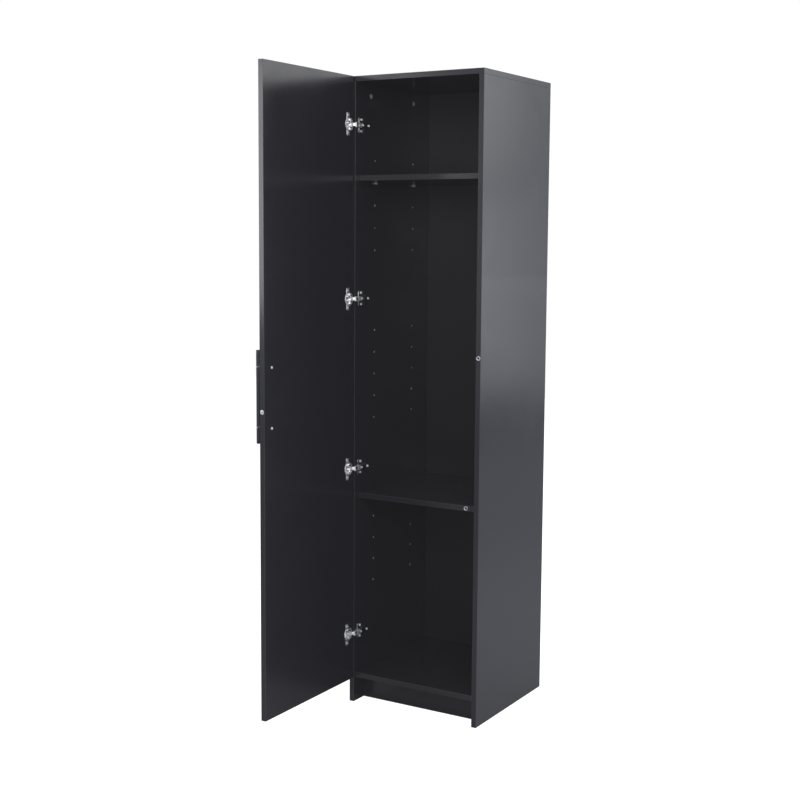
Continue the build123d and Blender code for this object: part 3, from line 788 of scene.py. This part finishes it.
def makeDoorInsert():
    # a turned plug whose face is a crossHead with one bar, which makes a plain slot
    low, high = cornersOf("door_edge_disc")
    radius, face = (high[0] - low[0]) / 2, insertLook["slotFace"]
    depth = high[1] - low[1] - face
    seat = np.array([(low[0] + high[0]) / 2, low[1] + face, (low[2] + high[2]) / 2])
    shells = [crossHead(seat, (0, -1, 0), radius, face, 0.0002, radius * insertLook["slotShare"], 0.0009,
                        blades=1, width=0.16, twist=0.6, rim=0.15)]
    plug = [(0, 0), (radius, 0), (radius, depth - 0.0002), (radius - 0.0004, depth), (0, depth)]
    shells.append(turned(plug, seat, (0, 1, 0), 48))
    makePiece("doorEdgeInsert", shells, "bright_steel", "door", ["door_edge_disc"])


makeScrews()
makeShelfPins()
makeCams()
makeInserts()
makeDoorInsert()
print("fixings done")


cup = {
    "radius": 0.0175, "wall": 0.0008, "flange": 0.0010, "ringRadius": 0.0191, "floorBend": 0.0022,
    "wing": (0.013, 0.064), "wingCorner": 0.0035, "rim": 0.0006, "rimBend": 0.0011,
    "earRadius": 0.0022, "earSteel": 0.0015, "crowding": 0.08, "columns": 144,
}


def rayToRectangle(direction, centre, halfSize, corner):
    # distance from the origin to the outline of a rounded rectangle round it, found by halving on the
    # rounded rectangle's signed distance
    near = np.zeros(len(direction))
    far = np.full(len(direction), 0.06)
    for _ in range(40):
        guess = (near + far) / 2
        offset = np.abs(direction * guess[:, None] - centre) - (halfSize - corner)
        outside = np.linalg.norm(np.maximum(offset, 0), axis=1) + np.minimum(offset.max(axis=1), 0) - corner
        near = np.where(outside < 0, guess, near)
        far = np.where(outside < 0, far, guess)
    return near


def cupSheet(faceX, depth, centreY, centreZ, screwY):
    # one pressed sheet as a polar surface round the cup's middle: out along the floor, up the wall, over the
    # flange to an edge whose radius is the larger of the ring and the winged plate, and back underneath;
    # a sine of four times the angle crowds the columns
    columns = cup["columns"]
    base = np.linspace(0, 2 * math.pi, columns, endpoint=False)
    angle = base - cup["crowding"] * np.sin(4 * base)
    direction = np.stack([np.cos(angle), np.sin(angle)], axis=1)
    wingHalf = np.array(cup["wing"]) / 2
    wingReach = rayToRectangle(direction, np.array([screwY - centreY, 0.0]), wingHalf, cup["wingCorner"])
    edge = np.maximum(cup["ringRadius"], wingReach)
    wall, flange, bend, rim = cup["wall"], cup["flange"], cup["floorBend"], cup["rim"]
    radius = cup["radius"]
    inner = radius - wall
    rows = []

    def addRow(reach, lift):
        rows.append(np.broadcast_arrays(reach, lift, base)[:2])

    for share in (0.0, 0.2, 0.42, 0.46, 0.5, 0.7, 0.86):
        emboss = 0.0005 if 0.43 < share < 0.49 else 0.0
        addRow(inner * share, -depth + wall + emboss)
    for turn in np.linspace(0, math.pi / 2, 6):
        addRow(inner - bend + bend * np.sin(turn), -depth + wall + bend - bend * np.cos(turn))
    for lift in (-0.006, -0.002, -0.0004):
        addRow(inner, lift)
    lip = inner + cup["rimBend"]
    for turn in np.linspace(0.3, math.pi / 2, 4):
        addRow(lip - cup["rimBend"] * np.cos(turn), flange - 0.0004 + 0.0004 * np.sin(turn))
    for share in (0.35, 0.7, 1.0):
        addRow(lip + (edge - rim - lip) * share, flange)
    for turn in np.linspace(0.2, math.pi / 2, 4):
        addRow(edge - rim + rim * np.sin(turn), flange - rim + rim * np.cos(turn))
    addRow(edge, 0.0)
    addRow(radius, 0.0)
    addRow(radius, -depth + bend)
    for turn in np.linspace(0.3, math.pi / 2, 4):
        addRow(radius - bend + bend * np.cos(turn), -depth + bend - bend * np.sin(turn))
    addRow(0.0, -depth)
    reach, lift = (np.stack(side) for side in zip(*rows))
    y = centreY + reach * direction[None, :, 0]
    z = centreZ + reach * direction[None, :, 1]
    return gridShell(np.stack([faceX + lift, y, z], axis=-1), caps=False)


def cupEars(pin, foot):
    # two upright plates from the cup's floor, each rounded by a half circle over the pin
    x, y, z = middle(pin)
    halfPin = (pin[1][2] - pin[0][2]) / 2
    turn = np.linspace(math.pi / 2, -math.pi / 2, 13)
    head = np.stack([x + cup["earRadius"] * np.cos(turn), y + cup["earRadius"] * np.sin(turn)], axis=1)
    sides = [(x - 0.004, y - 0.0024), (foot, y - 0.0028), (foot, y + 0.0040), (x - 0.004, y + 0.0030)]
    outline = np.concatenate([head, sides])[::-1]
    shells = []
    for sign in (-1, 1):
        outer = z + sign * halfPin
        inside = outer - sign * cup["earSteel"]
        shells.append(pressedPlate(outline, min(outer, inside), max(outer, inside), 0.0003, layFlat))
    return shells


def cupTrim(skin, centreY, centreZ, screwY):
    # a raised turned ring round the opening, and two rounded strip ends whose inner side follows its circle
    inner = cup["radius"] - cup["wall"]
    outer = cup["ringRadius"]
    lip = [(inner + 0.0007, -0.0002), (inner + 0.0007, 0.0003), (inner + 0.0011, 0.0005),
           (outer - 0.0004, 0.0005), (outer, 0.0001), (outer, -0.0002), (inner + 0.0007, -0.0002)]
    ring, ringFaces = turned(lip, (skin, centreY, centreZ), (1, 0, 0), 72)
    shells = [(ring, ringFaces[:-2])]  # a closed profile needs no end faces
    width, length = cup["wing"]
    strip = roundedRectangle(width - 0.0006, length - 0.0006, cup["wingCorner"], (screwY, centreZ))
    across = np.linspace(strip[:, 0].min(), strip[:, 0].max(), 15)
    rise = np.sqrt((outer - 0.0006) ** 2 - (across - centreY) ** 2)
    for sign in (1, -1):
        tip = strip[(strip[:, 1] - centreZ) * sign > 0]
        hollow = np.stack([across, centreZ + sign * rise], axis=1)[::sign]
        outline = np.concatenate([tip, hollow])
        shells.append(pressedPlate(outline, skin - 0.0002, skin + 0.0004, 0.0003, layOnWall))
    return shells


def makeCup(number, pin, screws):
    low, high = cornersOf(f"hinge_cup_{number}")
    faceX = high[0] - cup["flange"]
    centreY = high[1] - cup["ringRadius"]
    centreZ = (low[2] + high[2]) / 2
    screwY = screws[:, 1].mean()
    sheet = cupSheet(faceX, faceX - low[0], centreY, centreZ, screwY)
    ears = cupEars(pin, low[0] + cup["wall"] * 0.7)
    node = f"hinge_cup_{number}"
    makePiece(f"hingeCup_{number}", [sheet] + ears, "nickel", "door", [node])
    trim = cupTrim(faceX + cup["flange"], centreY, centreZ, screwY)
    makePiece(f"hingeTrim_{number}", trim, "nickel", "door", look=satinNickel)


arm = {
    "steel": 0.0015, "bend": 0.0019, "noseGap": 0.0115, "noseDrop": 0.0012, "noseLead": 0.004,
    "closeRows": 0.008, "tailLead": 0.007, "tailDrop": 0.0026, "footLift": 0.0026, "satinLength": 0.009,
    "eye": 0.0032, "cheekOverlap": 0.008, "cheekProud": 0.00004,
}


def armSection(halfHeight):
    # an upturned U as (distance over the crown, height) pairs: the outer shoulders and the inner ones, each a
    # quarter circle, mirrored for the lower half
    steel, bend = arm["steel"], arm["bend"]
    innerBend = bend - steel * 0.6
    halfInner = halfHeight - steel
    turn = np.linspace(0, math.pi / 2, 7)
    arc = np.stack([np.sin(turn) - 1, np.cos(turn) - 1], axis=1)
    outerTop = bend * arc + (0.0, halfHeight)
    innerTop = innerBend * arc + (-steel, halfInner)
    mirror = np.array([1, -1])
    outer = np.concatenate([outerTop, (outerTop * mirror)[::-1]])
    inner = np.concatenate([innerTop, (innerTop * mirror)[::-1]])[::-1]
    return outer, inner


def makeArm(number, pin):
    # a channel: the section is carried from the nose to the tail, and its crown dips with the square of the
    # distance at the nose and follows a smooth step down at the tail; two cheeks reach forward to the pin
    low, high = cornersOf(f"hinge_arm_{number}")
    centreZ = (low[2] + high[2]) / 2
    halfHeight = (high[2] - low[2]) / 2
    halfInner = halfHeight - arm["steel"]
    pinX, pinY, _ = middle(pin)
    start, tail = pinY + arm["noseGap"], high[1]
    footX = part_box(f"hinge_plate_{number}")[0].x + arm["footLift"]
    closer = tail - arm["closeRows"]  # the rows stand closer from here on
    along = np.concatenate([np.linspace(start, closer, 12), np.linspace(closer, tail, 12)[1:]])
    drop = np.clip((along - tail) / arm["tailLead"] + 1, 0, 1)
    lead = np.clip((start - along) / arm["noseLead"] + 1, 0, 1)
    crown = high[0] - arm["tailDrop"] * drop ** 2 * (3 - 2 * drop) - arm["noseDrop"] * lead ** 2
    outer, inner = armSection(halfHeight)
    foot = np.full((len(along), 1), footX)
    crown = crown[:, None]
    x = np.concatenate([foot, crown + outer[:, 0], foot, foot, crown + inner[:, 0], foot], axis=1)
    z = np.concatenate([[halfHeight], outer[:, 1], [-halfHeight, -halfInner], inner[:, 1], [halfInner]])
    y = np.broadcast_to(along[:, None], x.shape)
    points = np.stack([x, y, centreZ + np.broadcast_to(z, x.shape)], axis=-1)
    split = int(np.searchsorted(along, start + arm["satinLength"]))
    circle = np.linspace(math.pi, 2 * math.pi, 15)
    eye = np.stack([pinX + arm["eye"] * np.cos(circle), pinY + arm["eye"] * np.sin(circle)], axis=1)
    end = start + arm["cheekOverlap"]
    sides = [(high[0] - 0.0016, pinY + 0.0085), (high[0] - 0.0006, start + 0.002), (high[0] - 0.0010, end),
             (footX + 0.001, end), (footX + 0.0012, pinY + 0.009)]
    cheek = np.concatenate([eye, sides])
    nose = [gridShell(points[:split + 1])]
    for sign in (-1, 1):
        outside = centreZ + sign * (halfHeight + arm["cheekProud"])
        inside = centreZ + sign * (halfInner - arm["cheekProud"])
        nose.append(pressedPlate(cheek, min(inside, outside), max(inside, outside), 0.00035, layFlat))
    makePiece(f"hingeArm_{number}", [gridShell(points[split:])], "nickel", "carcass", [f"hinge_arm_{number}"])
    makePiece(f"hingeNose_{number}", nose, "nickel", "carcass", look=satinNickel)


plate = {
    "thick": 0.0020, "edge": 0.0005, "wingWidth": 0.024, "wingCorner": 0.006, "spineHeight": 0.015,
    "saddleHeight": 0.0094, "saddleInset": 0.004,
}


def makePlate(number, screws):
    # three pressed plates on the side panel: wings with rounded corners, a longer spine, and the saddle that
    # fills the arm
    low, high = cornersOf(f"hinge_plate_{number}")
    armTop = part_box(f"hinge_arm_{number}")[1].x
    centreY, centreZ = (low[1] + high[1]) / 2, (low[2] + high[2]) / 2
    wallX, thick, edge = low[0], plate["thick"], plate["edge"]
    screwY = screws[:, 1].mean()
    length = high[1] - low[1]
    wings = roundedRectangle(plate["wingWidth"], high[2] - low[2], plate["wingCorner"], (screwY, centreZ), 9)
    spine = roundedRectangle(length, plate["spineHeight"], 0.002, (centreY, centreZ))
    shorter = length - plate["saddleInset"]
    saddle = roundedRectangle(shorter, plate["saddleHeight"], 0.0012, (centreY, centreZ))
    shells = [
        pressedPlate(wings, wallX, wallX + thick, edge, layOnWall),
        pressedPlate(spine, wallX, wallX + thick + 0.0002, edge, layOnWall),
        pressedPlate(saddle, wallX + 0.0005, armTop - arm["steel"], 0.0004, layOnWall),
    ]
    makePiece(f"hingePlate_{number}", shells, "nickel", "carcass", [f"hinge_plate_{number}"])


link = {"thick": 0.0024, "bulge": 0.0030, "eye": 0.0022, "bore": 0.0013, "edge": 0.0003, "steps": 28}


def makeLink(number, armPin, cupPin):
    # a bar between the two pins, bowed by a parabola that is highest halfway, with a turned eye at each end
    low, high = cornersOf(f"hinge_link_{number}")
    start, end = middle(armPin), middle(cupPin)
    start[2] = end[2] = (low[2] + high[2]) / 2
    tall = high[2] - low[2]
    ahead = (end - start) / np.linalg.norm(end - start)
    sideways = np.array([-ahead[1], ahead[0], 0.0])
    share = np.linspace(0, 1, link["steps"])[:, None]
    path = start + (end - start) * share + sideways * link["bulge"] * (1 - (2 * share - 1) ** 2)
    section = roundedRectangle(link["thick"], tall, 0.0005, steps=4)
    shells = [swept(path[2:-2], section, (0, 0, 1))]
    bore, eye, edge = link["bore"], link["eye"], link["edge"]
    for pin in (start, end):
        profile = [(bore, 0.0002), (eye - edge, 0.0), (eye, edge), (eye, tall - edge), (eye - edge, tall),
                   (bore, tall - 0.0002), (bore, 0.0002)]
        points, faces = turned(profile, pin - (0, 0, tall / 2), (0, 0, 1), 32)
        shells.append((points, faces[:-2]))  # a closed profile needs no end faces
    makePiece(f"hingeLink_{number}", shells, "nickel", "hinge_links", [f"hinge_link_{number}"], satinNickel)


def makeHinges():
    armPins = solidsOf("hinge_arm_pins")
    cupPins = solidsOf("hinge_cup_pins")
    cupScrews = np.array([middle(box) for box in solidsOf("hinge_cup_screws")])
    plateScrews = np.array([middle(box) for box in solidsOf("hinge_plate_screws")])
    for number, (armPin, cupPin) in enumerate(zip(armPins, cupPins), start=1):
        level = middle(armPin)[2]
        makeCup(number, cupPin, cupScrews[np.abs(cupScrews[:, 2] - level) < 0.1])
        makeArm(number, armPin)
        makePlate(number, plateScrews[np.abs(plateScrews[:, 2] - level) < 0.1])
        makeLink(number, armPin, cupPin)


makeHinges()
print("hinges done")


stage = {
    "floorSize": 14.0, "floorGrey": 0.34, "floorGlow": 1.0, "ambient": 0.66, "roomWhite": 1.02,
    "roomTint": rgb(0.86, 0.91, 1.0), "veil": 0.0085,
}
softBoxes = [
    {"name": "rightRearWall", "at": (3.9, 3.4, 3.0), "aim": (0.2, 0.1, 1.4), "size": (4.0, 2.6),
     "power": 58.0, "tint": (1.0, 0.995, 1.0)},
    {"name": "rightRearLow", "at": (3.9, 3.4, 1.0), "aim": (0.2, 0.1, 0.9), "size": (4.0, 1.3),
     "power": 22.0, "tint": (0.90, 0.92, 1.0)},
    {"name": "rightFloor", "at": (1.2, 0.8, 1.25), "aim": (1.2, 0.801, 0.0), "size": (1.5, 1.2),
     "power": 13.0, "tint": (0.84, 0.85, 1.0)},
    {"name": "leftStrip", "at": (-1.25, -1.50, 1.55), "aim": (-0.2, -0.48, 1.45), "size": (0.8, 0.92),
     "power": 10.2, "tint": (0.96, 0.95, 1.0)},
    {"name": "overhead", "at": (0.6, -0.8, 4.2), "aim": (0.0, 0.0, 0.6), "size": (3.0, 3.0),
     "power": 40.0, "tint": (1.0, 1.0, 1.0)},
    {"name": "besideCamera", "at": (2.4, -3.4, 2.0), "aim": (0.0, 0.0, 1.0), "size": (2.2, 2.2),
     "power": 80.0, "tint": (1.0, 0.985, 1.0)},
]


def makeFloor():
    # a flat square grid at height zero, which glows for the camera only
    half = stage["floorSize"] / 2
    line = np.linspace(-half, half, 9)
    x, y = np.meshgrid(line, line, indexing="ij")
    points, faces = gridShell(np.stack([x, y, np.zeros_like(x)], axis=-1), roundAbout=False, caps=False)
    mesh = bpy.data.meshes.new("floor")
    mesh.from_pydata(points.tolist(), [], faces)
    if mesh.polygons[0].normal.z < 0:
        mesh.flip_normals()
    floor = bpy.data.objects.new("floor", mesh)
    scene.collection.objects.link(floor)
    material, tree, shader, place = startMaterial("paleFloor", Roughness=0.6)
    mottle = noise(tree, place, 3.0, 5.0)
    grey = stage["floorGrey"]
    colour = blendColour(tree, mottle, rgb(grey, grey, grey), rgb(grey * 0.98, grey * 0.98, grey * 0.985))
    feed(tree, shader.inputs["Base Color"], colour)
    addBump(tree, shader, noise(tree, place, 400.0, 3.0), 0.1, 0.0002)
    glow = tree.nodes.new("ShaderNodeEmission")
    glow.inputs["Strength"].default_value = stage["floorGlow"]
    both = tree.nodes.new("ShaderNodeAddShader")
    pick = tree.nodes.new("ShaderNodeMixShader")
    path = tree.nodes.new("ShaderNodeLightPath")
    plain, seen = shader.outputs[0], path.outputs["Is Camera Ray"]
    surface = tree.nodes["Material Output"].inputs["Surface"]
    for start, end in (
        (plain, both.inputs[0]), (glow.outputs[0], both.inputs[1]), (seen, pick.inputs[0]),
        (plain, pick.inputs[1]), (both.outputs[0], pick.inputs[2]), (pick.outputs[0], surface),
    ):
        tree.links.new(start, end)
    mesh.materials.append(material)


def makeLights():
    # soft boxes, and a room that is white to the camera and a dimmer, cooler grey to everything else
    for box in softBoxes:
        lamp = bpy.data.lights.new(box["name"], "AREA")
        lamp.shape = "RECTANGLE"
        lamp.size, lamp.size_y = box["size"]
        lamp.energy = box["power"]
        lamp.color = box["tint"]
        item = bpy.data.objects.new(box["name"], lamp)
        item.location = box["at"]
        away = Vector(box["at"]) - Vector(box["aim"])
        item.rotation_euler = away.to_track_quat("Z", "Y").to_euler()
        scene.collection.objects.link(item)
    world = bpy.data.worlds.new("paleRoom")
    world.use_nodes = True
    tree = world.node_tree
    background = tree.nodes["Background"]
    path = tree.nodes.new("ShaderNodeLightPath")
    seen = path.outputs["Is Camera Ray"]
    feed(tree, background.inputs["Color"], blendColour(tree, seen, stage["roomTint"], rgb(1.0, 1.0, 1.0)))
    strength = remap(tree, seen, 0.0, 1.0, stage["ambient"], stage["roomWhite"])
    feed(tree, background.inputs["Strength"], strength)
    scene.world = world


view = {
    "at": (1.8824, -3.2375, 1.3582), "yaw": 31.24, "pitch": -6.33, "roll": 0.38, "lens": 60.1, "shift": -0.02,
}


def makeCamera():
    # yaw turns the view from +Y towards -X, pitch tips it up, roll turns it about its own axis
    yaw, pitch, roll = (math.radians(view[key]) for key in ("yaw", "pitch", "roll"))
    ahead = Vector((-math.sin(yaw) * math.cos(pitch), math.cos(yaw) * math.cos(pitch), math.sin(pitch)))
    right = Vector((math.cos(yaw), math.sin(yaw), 0))
    up = right.cross(ahead)
    tiltedRight = math.cos(roll) * right + math.sin(roll) * up
    tiltedUp = -math.sin(roll) * right + math.cos(roll) * up
    data = bpy.data.cameras.new("camera")
    data.sensor_fit = "HORIZONTAL"
    data.sensor_width = 36.0
    data.lens = view["lens"]
    data.shift_y = view["shift"]
    data.clip_end = 60.0
    item = bpy.data.objects.new("camera", data)
    item.matrix_world = Matrix((
        (tiltedRight.x, tiltedUp.x, -ahead.x, view["at"][0]),
        (tiltedRight.y, tiltedUp.y, -ahead.y, view["at"][1]),
        (tiltedRight.z, tiltedUp.z, -ahead.z, view["at"][2]),
        (0, 0, 0, 1),
    ))
    scene.collection.objects.link(item)
    scene.camera = item


makeFloor()
makeLights()
makeCamera()
display = scene.view_settings
display.view_transform = "Standard"
display.use_curve_mapping = True  # a thin veil of stray light over the blacks
display.curve_mapping.black_level = (-stage["veil"], -stage["veil"], -stage["veil"] * 1.15)
display.curve_mapping.update()
print("stage done")
